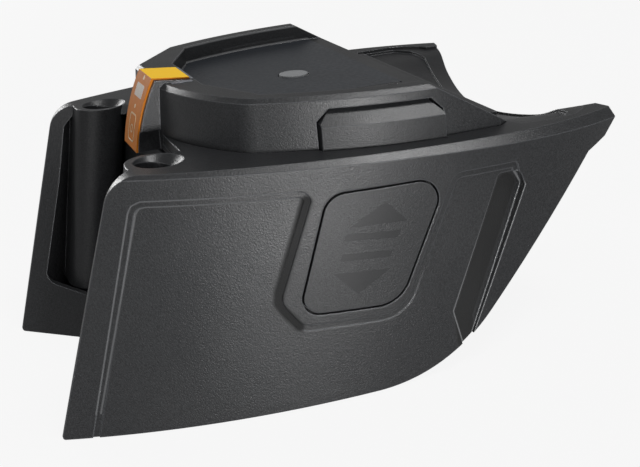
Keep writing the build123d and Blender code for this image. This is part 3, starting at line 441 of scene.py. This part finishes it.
def fibre_card(pale, dark):
    """Insulating card with long fibres."""
    made, tree, surface, spot = new_material("insulation_card")
    turned = add_node(tree, "Mapping", {"Vector": spot, "Scale": (300, 300, 2600)})
    strands = {"Vector": turned.outputs[0], "Scale": 1.0, "Detail": 5.0, "Distortion": 0.8}
    fibres = add_node(tree, "TexNoise", strands)
    rounded_bump(tree, surface, fibres.outputs["Fac"], 0.00004, 0.0001)
    tree.links.new(tint(tree, fibres.outputs["Fac"], (*dark, 1), (*pale, 1)), surface.inputs["Base Color"])
    tree.links.new(spread(tree, fibres.outputs["Fac"], 0.3, 0.7, 0.7, 0.85), surface.inputs["Roughness"])
    return made


def open_foam(pale, dark):
    """Soft foam with open pores."""
    made, tree, surface, spot = new_material("foam")
    pores = add_node(tree, "TexVoronoi", {"Vector": spot, "Scale": 1400.0})
    depth = spread(tree, pores.outputs["Distance"], 0.1, 0.6)
    rounded_bump(tree, surface, depth, 0.00025, 0.0004)
    tree.links.new(tint(tree, depth, (*dark, 1), (*pale, 1)), surface.inputs["Base Color"])
    tree.links.new(spread(tree, depth, 0, 1, 0.95, 0.8), surface.inputs["Roughness"])
    return made


def floor_material(colour):
    """Pale floor that stays near white in the camera and in reflections and still takes a shadow."""
    made, tree, surface, spot = new_material("studio_floor")
    fine = add_node(tree, "TexNoise", {"Vector": spot, "Scale": 900.0, "Detail": 2.0})
    shade = tint(tree, spread(tree, fine.outputs["Fac"], 0.3, 0.7, 0, 0.03), (*colour, 1), (0.7, 0.7, 0.7, 1))
    tree.links.new(shade, surface.inputs["Base Color"])
    surface.inputs["Roughness"].default_value = 0.9
    surface.inputs["Specular IOR Level"].default_value = 0.0
    path = add_node(tree, "LightPath").outputs
    seen = maths(tree, "MAXIMUM", path["Is Camera Ray"], path["Is Transmission Ray"])
    mirrored = maths(tree, "MULTIPLY", path["Is Glossy Ray"], FLOOR_MIRRORED)
    glow = add_node(tree, "Emission", {"Color": (1, 1, 1, 1), "Strength": 1.0})
    share = maths(tree, "MAXIMUM", maths(tree, "MULTIPLY", seen, FLOOR_WHITE), mirrored)
    both = add_node(tree, "MixShader", {0: share, 1: surface.outputs[0], 2: glow.outputs[0]})
    tree.links.new(both.outputs[0], tree.nodes["Material Output"].inputs["Surface"])
    return made


def line_mask(tree, spot, points, width, blur):
    """A soft line through points of the side view."""
    mask = 0.0
    for (x0, z0), (x1, z1) in zip(points, points[1:]):
        line = place_group(
            tree, "soft_line", Vector=spot, Start=(x0, 0, z0), End=(x1, 0, z1), Width=width, Blur=blur)
        mask = line["Line"] if mask == 0.0 else maths(tree, "MAXIMUM", mask, line["Line"])
    return mask


def shade_wings(material, dark, pale):
    """Painted shade in the sunk edges of the wings, and painted highlights on the rims beside them."""
    tree = material.node_tree
    base = tree.nodes["Principled BSDF"].inputs["Base Color"]
    spot = tree.nodes["Texture Coordinate"].outputs["Object"]
    rough = tree.nodes["Principled BSDF"].inputs["Roughness"]
    across = add_node(tree, "SeparateXYZ", {0: spot}).outputs["Y"]
    turned = add_node(tree, "SeparateXYZ", {0: add_node(tree, "NewGeometry").outputs["Normal"]}).outputs["Y"]
    outward = maths(tree, "MULTIPLY", turned, maths(tree, "SIGN", across))
    facing = spread(tree, outward, 0.05, 0.3)
    inward = spread(tree, outward, -0.05, -0.3)
    on_wing = maths(tree, "GREATER_THAN", maths(tree, "ABSOLUTE", across), WING_SKIN)
    # Each line: its points, width, blur, the faces it may fall on, its colour and its share; dark lines are
    # painted shade, pale lines are painted highlights
    for points, width, blur, place, colour, share in (
        (SLOT_MIDDLE, 5.0, 0.9, on_wing, dark, 1.0),
        (FIELD_WALL, 1.6, 1.0, on_wing, dark, 1.0),
        (SLOT_LEFT_RIM, 0.35, 0.25, facing, pale, 0.9),
        (SLOT_RIGHT_RIM, 0.3, 0.25, facing, pale, 0.9),
        (FIELD_RIM, 0.2, 0.25, facing, pale, 0.6),
        (FIELD_STEP_RIM, 0.2, 0.25, facing, pale, 0.5),
        (RECESS_TOP_RIM, 0.5, 0.3, inward, pale, 0.9),
        (RECESS_FLOOR_RIM, 0.5, 0.3, inward, pale, 0.9),
    ):
        mask = maths(tree, "MULTIPLY", line_mask(tree, spot, points, width, blur), place)
        part = maths(tree, "MULTIPLY", mask, share)
        tree.links.new(tint(tree, part, base.links[0].from_socket, (*colour, 1)), base)
        # Where shade is painted, the surface is also made rougher
        if colour is dark:
            more = maths(tree, "MULTIPLY", part, SUNK_ROUGHER)
            tree.links.new(maths(tree, "ADD", rough.links[0].from_socket, more, clamp=True), rough)


def both_sides(*parts):
    """Names of the near and the far node of each part."""
    return [side + part for side in ("near_", "far_") for part in parts]


def dress(nodes, material):
    """Give CAD nodes a finish through their material slots."""
    for name in nodes:
        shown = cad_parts[name]
        if not shown.material_slots:
            shown.data.materials.append(material)
        for place in shown.material_slots:
            place.material = material


def finish_piece(shape, name, body, material):
    """Put a shape that was made in the level drawing into the row frame, on its body."""
    bmesh.ops.transform(shape, matrix=drawing_matrix(), verts=shape.verts)
    bmesh.ops.recalc_face_normals(shape, faces=shape.faces)
    mesh = bpy.data.meshes.new(name)
    shape.to_mesh(mesh)
    shape.free()
    piece = bpy.data.objects.new(name, mesh)
    bpy.context.scene.collection.objects.link(piece)
    mesh.materials.append(material)
    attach(piece, body)


# Shapes


def add_plate(shape, half, top, foot, radius):
    """A flat face in the XY plane with rounded corners, for one print on the band."""
    corners = ((-half, top), (half, top), (half, foot), (-half, foot))
    points = [shape.verts.new((x, y, 0)) for x, y in corners]
    shape.faces.new(points)
    bmesh.ops.bevel(
        shape, geom=points, offset=radius, affect="VERTICES", segments=5, profile=0.5, material=-1)


def thicken(shape, faces, height):
    """Pull faces up along Z and keep the ones below."""
    grown = bmesh.ops.extrude_face_region(shape, geom=faces, use_keep_orig=True)
    lifted = [item for item in grown["geom"] if isinstance(item, bmesh.types.BMVert)]
    bmesh.ops.translate(shape, vec=(0, 0, height), verts=lifted)


def release_sign(side, relief):
    """Up and down arrowheads with two bars between them, laid on the crowned button."""
    shape = bmesh.new()
    for corners in SIGN_SHAPES:
        shape.faces.new([shape.verts.new((x, 0, z)) for x, z in corners])
    for step in range(SIGN_CUTS):
        everything = shape.verts[:] + shape.edges[:] + shape.faces[:]
        spot = (SIGN_LEFT + step, 0, 0)
        bmesh.ops.bisect_plane(shape, geom=everything, plane_co=spot, plane_no=(1, 0, -LEAN))
    for point in shape.verts:
        point.co.y = side * (wing_y(point.co.x, point.co.z) + relief)
    grown = bmesh.ops.extrude_face_region(shape, geom=shape.faces[:], use_keep_orig=True)
    sunk = [item for item in grown["geom"] if isinstance(item, bmesh.types.BMVert)]
    bmesh.ops.translate(shape, vec=(0, -side * (relief + SIGN_SUNK), 0), verts=sunk)
    return shape


def band_arc():
    """Centre, radius and start angle of the curved face of the band, in the side view."""
    fold, mid, foot = (Vector(point) for point in BAND)
    first = mid - fold
    second = foot - fold
    area = 2 * first.cross(second)
    ahead = Vector((second.y * first.length_squared - first.y * second.length_squared,
                    first.x * second.length_squared - second.x * first.length_squared)) / area
    centre = fold + ahead
    return centre, ahead.length, math.atan2(-ahead.y, -ahead.x)


def lay_on_band(shape):
    """Bend a flat print onto the band: X across the pack, Y down from the fold, Z out of the face."""
    for step in range(1, PRINT_CUTS + 1):
        everything = shape.verts[:] + shape.edges[:] + shape.faces[:]
        bmesh.ops.bisect_plane(shape, geom=everything, plane_co=(0, step, 0), plane_no=(0, 1, 0))
    centre, radius, start = band_arc()
    for point in shape.verts:
        across, down, out = point.co
        angle = start + down / radius
        reach = radius + out
        point.co = (centre.x + reach * math.cos(angle), -across, centre.y + reach * math.sin(angle))


# Settings


class BatteryColours(bpy.types.PropertyGroup):
    housing_dark: FloatVectorProperty(
        name="Housing, dark", description="Darker colour in the grain of the housing",
        default=(0.010, 0.0105, 0.0115), subtype="COLOR", min=0, max=1)
    housing_light: FloatVectorProperty(
        name="Housing, light", description="Paler colour on the tops of the grain",
        default=(0.030, 0.031, 0.033), subtype="COLOR", min=0, max=1)
    # Colour of the highlights painted on the rims of the sunk field and the slot
    rim: FloatVectorProperty(
        name="Painted rim", description="Paler colour on the rims of the sunk field and the slot",
        default=(0.18, 0.183, 0.188), subtype="COLOR", min=0, max=1)
    sign: FloatVectorProperty(
        name="Release sign", description="Smooth sign on the release buttons",
        default=(0.010, 0.0105, 0.0115), subtype="COLOR", min=0, max=1)
    band: FloatVectorProperty(
        name="Band", description="Orange film below the fold of the band",
        default=(0.55, 0.165, 0.003), subtype="COLOR", min=0, max=1)
    # Brighter colour painted on the flat top of the band for the light that falls on it
    band_top: FloatVectorProperty(
        name="Band, top", description="Brighter film on the flat top of the band",
        default=(1.0, 0.60, 0.02), subtype="COLOR", min=0, max=1)
    plate: FloatVectorProperty(
        name="Floor plate", description="Blank plate in the sunk floor",
        default=(0.020, 0.023, 0.028), subtype="COLOR", min=0, max=1)
    vent: FloatVectorProperty(
        name="Vent disc", description="Breathable disc in the floor plate",
        default=(0.32, 0.33, 0.34), subtype="COLOR", min=0, max=1)
    trim: FloatVectorProperty(
        name="Band frame", description="Thin pale frame round the folded band",
        default=(0.13, 0.135, 0.15), subtype="COLOR", min=0, max=1)
    wrap: FloatVectorProperty(
        name="Cell film", description="Shrink film round the cells",
        default=(0.03, 0.18, 0.22), subtype="COLOR", min=0, max=1)
    floor: FloatVectorProperty(
        name="Studio floor", description="Floor under the battery",
        default=(0.34, 0.34, 0.343), subtype="COLOR", min=0, max=1)


class BatterySizes(bpy.types.PropertyGroup):
    grain: FloatProperty(
        name="Grain", description="Size of the mould grain in millimetres", default=0.42, min=0.1, max=3)
    edge_radius: FloatProperty(
        name="Edge radius", description="Radius shown on the hard edges of the housing",
        default=0.0005, min=0, max=0.003, subtype="DISTANCE", unit="LENGTH")
    sign_relief: FloatProperty(
        name="Sign relief", description="How far the release sign stands proud, in millimetres",
        default=0.03, min=0, max=0.5)
    mark_relief: FloatProperty(
        name="Print relief", description="Thickness of the marks on the band, in millimetres",
        default=0.06, min=0.01, max=0.5)
    hatch_height: FloatProperty(
        name="Hatched mark", description="Height of the hatched mark on the band, in millimetres",
        default=3.8, min=1, max=8)
    frame_width: FloatProperty(
        name="Band frame width", description="Width of the thin frame round the band, in millimetres",
        default=0.8, min=0.3, max=2)
    ring_segments: IntProperty(
        name="Ring segments", description="Faces round each ring and dot", default=28, min=12, max=96)


class BATTERY_OT_stage(bpy.types.Operator):
    """Pale floor, soft lamps, white surroundings and the camera at the photograph's angle"""
    bl_idname = "battery.stage"
    bl_label = "Stage"

    def execute(self, context):
        scene = context.scene
        scene.view_settings.view_transform = "Standard"
        shape = bmesh.new()
        bmesh.ops.create_grid(shape, x_segments=1, y_segments=1, size=FLOOR_HALF)
        mesh = bpy.data.meshes.new("studio_floor")
        shape.to_mesh(mesh)
        shape.free()
        mesh.materials.append(floor_material(scene.battery_colours.floor))
        floor = bpy.data.objects.new("studio_floor", mesh)
        scene.collection.objects.link(floor)
        self.light_world(scene)
        for name, place, wide, tall, power in LAMPS:
            self.add_lamp(scene, name, Vector(place), wide, tall, power)
        self.add_camera(scene)
        return {"FINISHED"}

    def light_world(self, scene):
        world = bpy.data.worlds.new("studio_world")
        world.use_nodes = True
        scene.world = world
        tree = world.node_tree
        path = add_node(tree, "LightPath").outputs
        seen = maths(tree, "MAXIMUM", path["Is Camera Ray"], path["Is Transmission Ray"])
        backdrop = tree.nodes["Background"]
        backdrop.inputs["Color"].default_value = (1, 1, 1, 1)
        strength = spread(tree, seen, 0, 1, WORLD_LIGHT, 1.0)
        tree.links.new(strength, backdrop.inputs["Strength"])

    def add_lamp(self, scene, name, place, wide, tall, power):
        data = bpy.data.lights.new(name, "AREA")
        data.shape = "RECTANGLE"
        data.size = wide
        data.size_y = tall
        data.energy = power
        lamp = bpy.data.objects.new(name, data)
        lamp.location = place
        lamp.rotation_mode = "QUATERNION"
        lamp.rotation_quaternion = (LIT_POINT - place).to_track_quat("-Z", "Y")
        scene.collection.objects.link(lamp)

    def add_camera(self, scene):
        data = bpy.data.cameras.new("photo_camera")
        data.sensor_width = SENSOR
        data.lens = LENS
        data.clip_start = 0.01
        data.clip_end = 50.0
        camera = bpy.data.objects.new("photo_camera", data)
        turned = Matrix((CAMERA_RIGHT, CAMERA_UP, CAMERA_BACK)).transposed().to_4x4()
        camera.matrix_world = Matrix.Translation(CAMERA_PLACE) @ turned
        scene.collection.objects.link(camera)
        scene.camera = camera


class BATTERY_OT_housing(bpy.types.Operator):
    """Grained charcoal plastic on the cover, the lower housing and both wings"""
    bl_idname = "battery.housing"
    bl_label = "Housing"

    def execute(self, context):
        colours = context.scene.battery_colours
        sizes = context.scene.battery_sizes
        plastic = moulded_plastic(
            "charcoal_plastic", colours.housing_dark, colours.housing_light,
            grain=sizes.grain, depth=0.00005, rough=0.34, edge_share=0.85, radius=sizes.edge_radius)
        # Shade and highlights painted along the field and slot lines of the wings
        shade_wings(plastic, [0.35 * value for value in colours.housing_dark], colours.rim)
        dress(HOUSING_NODES, plastic)
        return {"FINISHED"}


class BATTERY_OT_latches(bpy.types.Operator):
    """Catches, links and release buttons in a slightly smoother grain, and the sign on each button"""
    bl_idname = "battery.latches"
    bl_label = "Latches"

    def execute(self, context):
        colours = context.scene.battery_colours
        sizes = context.scene.battery_sizes
        plastic = moulded_plastic(
            "latch_plastic", colours.housing_dark, colours.housing_light,
            grain=0.9 * sizes.grain, depth=0.00004, rough=0.37, edge_share=0.85,
            radius=0.8 * sizes.edge_radius)
        dress(both_sides("catch", "latch_link", "release_button"), plastic)
        smooth = moulded_plastic(
            "smooth_sign", colours.sign, [1.4 * value for value in colours.sign],
            grain=0.3, depth=0.00001, rough=0.38, edge_share=0.1, radius=0.00005)
        for name, side in (("near", -1), ("far", 1)):
            shape = release_sign(side, sizes.sign_relief)
            finish_piece(shape, name + "_release_sign", name + "_release", smooth)
        return {"FINISHED"}


class BATTERY_OT_band(bpy.types.Operator):
    """Orange folded band with its plain marks and the thin frame round it"""
    bl_idname = "battery.band"
    bl_label = "Band"

    def execute(self, context):
        colours = context.scene.battery_colours
        sizes = context.scene.battery_sizes
        dress(["orange_band"], band_film(colours.band, colours.band_top))
        pale = film(
            "pale_print", (0.60, 0.42, 0.22), (0.72, 0.56, 0.36), rough=0.4, mottle=300.0, depth=0.00001)
        self.add_dots(sizes, pale)
        self.add_hatching(sizes)
        self.add_outline(sizes, pale)
        self.add_frame(sizes, colours)
        return {"FINISHED"}

    def add_dots(self, sizes, pale):
        shape = bmesh.new()
        for across, down, radius in BAND_DOTS:
            spot = Matrix.Translation((across, down, 0))
            bmesh.ops.create_circle(
                shape, cap_ends=True, segments=sizes.ring_segments, radius=radius, matrix=spot)
        thicken(shape, shape.faces[:], sizes.mark_relief)
        lay_on_band(shape)
        finish_piece(shape, "band_dots", "housing", pale)

    def add_hatching(self, sizes):
        shape = bmesh.new()
        half = sizes.hatch_height / 2
        add_plate(shape, HATCH_HALF, HATCH_MIDDLE - half, HATCH_MIDDLE + half, HATCH_CORNER)
        thicken(shape, shape.faces[:], sizes.mark_relief)
        lay_on_band(shape)
        finish_piece(shape, "band_hatching", "housing", hatched_print())

    def add_outline(self, sizes, pale):
        shape = bmesh.new()
        add_plate(shape, OUTLINE_HALF, OUTLINE_TOP, OUTLINE_FOOT, OUTLINE_CORNER)
        bmesh.ops.inset_individual(shape, faces=shape.faces[:], thickness=OUTLINE_WIDTH)
        inner = max(shape.faces, key=lambda face: face.calc_area())
        bmesh.ops.delete(shape, geom=[inner], context="FACES")
        spot = Matrix.Translation((0, RING_MIDDLE, 0))
        ring = bmesh.ops.create_circle(
            shape, cap_ends=True, segments=sizes.ring_segments, radius=RING_RADIUS, matrix=spot)
        disc = ring["verts"][0].link_faces[0]
        bmesh.ops.inset_individual(shape, faces=[disc], thickness=RING_WIDTH)
        bmesh.ops.delete(shape, geom=[disc], context="FACES")
        thicken(shape, shape.faces[:], sizes.mark_relief)
        lay_on_band(shape)
        finish_piece(shape, "band_outline", "housing", pale)

    def add_frame(self, sizes, colours):
        shape = bmesh.new()
        wide = sizes.frame_width
        for x0, x1, y0, y1 in (
            (FRAME_LEFT, FRAME_RIGHT, FRAME_HALF, FRAME_HALF + wide),
            (FRAME_RIGHT - wide, FRAME_RIGHT, -FRAME_HALF, FRAME_HALF),
            SHORT_BAR,
        ):
            low = Vector((x0, y0, FRAME_LOW))
            high = Vector((x1, y1, FRAME_HIGH))
            spot = Matrix.Translation((low + high) / 2) @ Matrix.Diagonal((*(high - low), 1))
            bmesh.ops.create_cube(shape, size=1.0, matrix=spot)
        bmesh.ops.bevel(
            shape, geom=shape.edges[:], offset=FRAME_EDGE, affect="EDGES", segments=2, profile=0.5,
            material=-1)
        light = [1.5 * value for value in colours.trim]
        pale = moulded_plastic(
            "pale_trim", colours.trim, light,
            grain=0.4, depth=0.00001, rough=0.35, edge_share=0.3, radius=0.0001)
        finish_piece(shape, "band_frame", "housing", pale)


class BATTERY_OT_floor_plate(bpy.types.Operator):
    """Blank plate and breathable disc in the sunk floor"""
    bl_idname = "battery.floor_plate"
    bl_label = "Floor plate"

    def execute(self, context):
        colours = context.scene.battery_colours
        light = [1.25 * value for value in colours.plate]
        blank = film("label_film", colours.plate, light, rough=0.36, mottle=60.0, depth=0.00001)
        dress(["blank_label_plate"], blank)
        shade = [0.6 * value for value in colours.vent]
        dress(["vent_disc"], woven_membrane(colours.vent, shade))
        return {"FINISHED"}


class BATTERY_OT_cells(bpy.types.Operator):
    """Cells in their film, their frames, insulators, card and foam"""
    bl_idname = "battery.cells"
    bl_label = "Cells"

    def execute(self, context):
        colours = context.scene.battery_colours
        cells = ["cell_" + str(index) for index in range(1, CELL_COUNT + 1)]
        dress(cells, cell_wrapper(colours.wrap, (0.52, 0.51, 0.49)))
        frame_plastic = moulded_plastic(
            "frame_plastic", (0.33, 0.33, 0.31), (0.45, 0.45, 0.43),
            grain=0.4, depth=0.00002, rough=0.45, edge_share=0.3, radius=0.0003)
        dress(both_sides("cell_frame"), frame_plastic)
        card = fibre_card((0.30, 0.27, 0.19), (0.20, 0.17, 0.11))
        dress(both_sides("insulator_rings", "insulating_sheet"), card)
        dress(both_sides("foam_pad"), open_foam((0.06, 0.06, 0.065), (0.012, 0.012, 0.013)))
        return {"FINISHED"}


class BATTERY_OT_electrics(bpy.types.Operator):
    """Control board, its parts, the terminals, strips and temperature bead"""
    bl_idname = "battery.electrics"
    bl_label = "Electrics"

    def execute(self, context):
        dress(["control_board"], printed_board((0.008, 0.06, 0.025), (0.05, 0.16, 0.05)))
        epoxy = moulded_plastic(
            "component_black", (0.008, 0.008, 0.009), (0.02, 0.02, 0.022),
            grain=0.25, depth=0.00001, rough=0.5, edge_share=0.4, radius=0.0001)
        dress(["board_parts", "thermistor"], epoxy)
        block = moulded_plastic(
            "terminal_plastic", (0.009, 0.009, 0.01), (0.022, 0.022, 0.024),
            grain=0.3, depth=0.00001, rough=0.35, edge_share=0.5, radius=0.0002)
        dress(["terminal_block"], block)
        brass = metal(
            "contact_brass", (0.50, 0.33, 0.10), (0.72, 0.52, 0.22), rough=0.28, stretch=(0.2, 1, 1))
        dress(["terminal_clips"], brass)
        nickel = metal(
            "nickel_strip", (0.42, 0.41, 0.39), (0.62, 0.61, 0.58), rough=0.3, stretch=(0.15, 1, 1))
        dress(both_sides("bus_strips"), nickel)
        return {"FINISHED"}


class BATTERY_OT_fasteners(bpy.types.Operator):
    """Screws and the return springs of the latches"""
    bl_idname = "battery.fasteners"
    bl_label = "Fasteners"

    def execute(self, context):
        steel = metal(
            "screw_steel", (0.18, 0.18, 0.19), (0.36, 0.36, 0.38), rough=0.32, stretch=(1, 1, 0.2))
        dress(["housing_screws", "board_screws"], steel)
        spring = metal(
            "spring_steel", (0.32, 0.32, 0.33), (0.55, 0.55, 0.56), rough=0.22, stretch=(0.3, 0.3, 1))
        dress(both_sides("return_spring"), spring)
        return {"FINISHED"}


STEPS = (
    BATTERY_OT_stage,
    BATTERY_OT_housing,
    BATTERY_OT_latches,
    BATTERY_OT_band,
    BATTERY_OT_floor_plate,
    BATTERY_OT_cells,
    BATTERY_OT_electrics,
    BATTERY_OT_fasteners,
)


class BATTERY_PT_sidebar(bpy.types.Panel):
    """Settings and steps of the battery in the 3D view's sidebar"""
    bl_label = "Battery"
    bl_idname = "BATTERY_PT_sidebar"
    bl_space_type = "VIEW_3D"
    bl_region_type = "UI"
    bl_category = "Battery"

    def draw(self, context):
        for settings in (context.scene.battery_colours, context.scene.battery_sizes):
            box = self.layout.box()
            for key in settings.__annotations__:
                box.prop(settings, key)
        for step in STEPS:
            self.layout.operator(step.bl_idname)


CLASSES = (BatteryColours, BatterySizes, *STEPS, BATTERY_PT_sidebar)


def register():
    for made in CLASSES:
        bpy.utils.register_class(made)
    bpy.types.Scene.battery_colours = PointerProperty(type=BatteryColours)
    bpy.types.Scene.battery_sizes = PointerProperty(type=BatterySizes)


def unregister():
    del bpy.types.Scene.battery_sizes
    del bpy.types.Scene.battery_colours
    for made in reversed(CLASSES):
        bpy.utils.unregister_class(made)


def main():
    register()
    make_grain_group()
    make_edge_group()
    make_handling_group()
    make_drawn_group()
    make_line_group()
    for step in STEPS:
        action = step.bl_idname.split(".")[1]
        getattr(bpy.ops.battery, action)()


if __name__ == "__main__":
    main()
